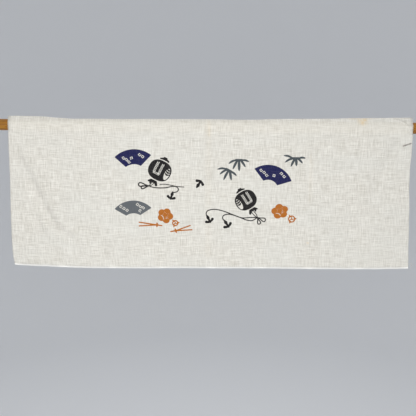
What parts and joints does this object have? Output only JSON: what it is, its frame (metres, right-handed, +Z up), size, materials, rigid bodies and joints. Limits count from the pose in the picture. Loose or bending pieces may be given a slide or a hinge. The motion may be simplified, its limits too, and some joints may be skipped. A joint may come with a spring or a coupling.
{
  "type": "tenugui towel on a rod",
  "caption": "Long narrow hand towel of thin printed cotton, turned over a plain round wooden rod along its upper edge.",
  "frame": {"origin": "centre of the rod's left end face", "axes": "+X along the rod to the right as seen from the front, +Z up, the printed side faces -Y"},
  "size_m": [1, 0.0284, 0.3326],
  "materials": {
    "cotton": "matt plain weave",
    "wood": "satin varnish"
  },
  "bodies": {
    "root": {"rod": "wood", "towel": "cotton"}
  },
  "joints": []
}
